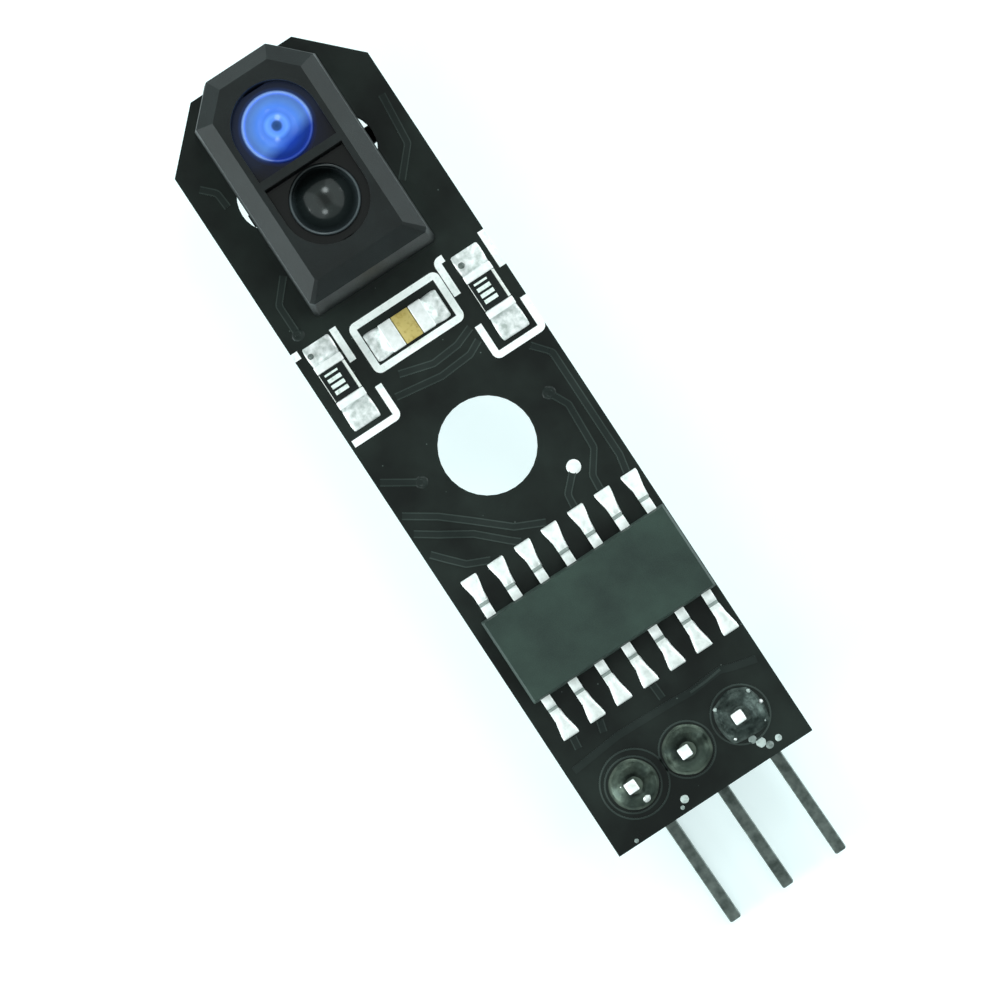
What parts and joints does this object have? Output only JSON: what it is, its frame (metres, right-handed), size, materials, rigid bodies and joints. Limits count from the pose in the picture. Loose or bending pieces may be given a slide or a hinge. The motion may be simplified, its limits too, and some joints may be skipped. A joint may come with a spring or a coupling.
{
  "type": "reflective line sensor module",
  "caption": "Narrow black circuit board with a two-window reflective infrared sensor at one end, a logic chip, small chip parts, a mounting hole and a bent pin header.",
  "frame": {"origin": "middle of the bottom of the whole module's box, under the board, level with the lowest header pin", "axes": "+Z out of the component side, towards what the sensor looks at; +Y along the board from the header to the sensor; +X across the board, to the right when the component side is seen with the sensor at the top"},
  "size_m": [0.0092, 0.0396, 0.0126],
  "materials": {
    "board_mask": "black solder mask over woven glass laminate, satin",
    "sensor_plastic": "moulded black plastic, fine spark-eroded texture",
    "blue_epoxy": "clear blue cast epoxy, polished lens",
    "black_epoxy": "black daylight-blocking epoxy, polished lens",
    "silicon": "sawn silicon die",
    "tinned_lead": "matte tin plate on copper alloy",
    "tinned_end": "tin plate over nickel, satin",
    "solder": "reflowed solder, bright with a fine frost",
    "chip_mould": "filled black moulding compound, matte",
    "resistor_glaze": "black glass overcoat on alumina",
    "capacitor_ceramic": "fired tan ceramic",
    "header_plastic": "moulded black nylon",
    "header_pin": "tin-nickel plated square wire, dulled"
  },
  "bodies": {
    "root": {"circuit_board": "board_mask", "sensor_housing": "sensor_plastic", "ir_emitter": "blue_epoxy", "photo_detector": "black_epoxy", "emitter_die": "silicon", "detector_die": "silicon", "emitter_anode_lead": "tinned_lead", "emitter_cathode_lead": "tinned_lead", "detector_emitter_lead": "tinned_lead", "detector_collector_lead": "tinned_lead", "logic_chip_body": "chip_mould", "chip_lead_01": "tinned_lead", "chip_lead_02": "tinned_lead", "chip_lead_03": "tinned_lead", "chip_lead_04": "tinned_lead", "chip_lead_05": "tinned_lead", "chip_lead_06": "tinned_lead", "chip_lead_07": "tinned_lead", "chip_lead_08": "tinned_lead", "chip_lead_09": "tinned_lead", "chip_lead_10": "tinned_lead", "chip_lead_11": "tinned_lead", "chip_lead_12": "tinned_lead", "chip_lead_13": "tinned_lead", "chip_lead_14": "tinned_lead", "resistor_left_body": "resistor_glaze", "resistor_left_end_near": "tinned_end", "resistor_left_solder_near": "solder", "resistor_left_end_far": "tinned_end", "resistor_left_solder_far": "solder", "resistor_right_body": "resistor_glaze", "resistor_right_end_near": "tinned_end", "resistor_right_solder_near": "solder", "resistor_right_end_far": "tinned_end", "resistor_right_solder_far": "solder", "capacitor_body": "capacitor_ceramic", "capacitor_end_left": "tinned_end", "capacitor_solder_left": "solder", "capacitor_end_right": "tinned_end", "capacitor_solder_right": "solder", "header_block": "header_plastic", "header_pin_1": "header_pin", "header_solder_1": "solder", "header_pin_2": "header_pin", "header_solder_2": "solder", "header_pin_3": "header_pin", "header_solder_3": "solder", "sensor_solder_1": "solder", "sensor_solder_2": "solder", "sensor_solder_3": "solder", "sensor_solder_4": "solder"}
  },
  "joints": []
}
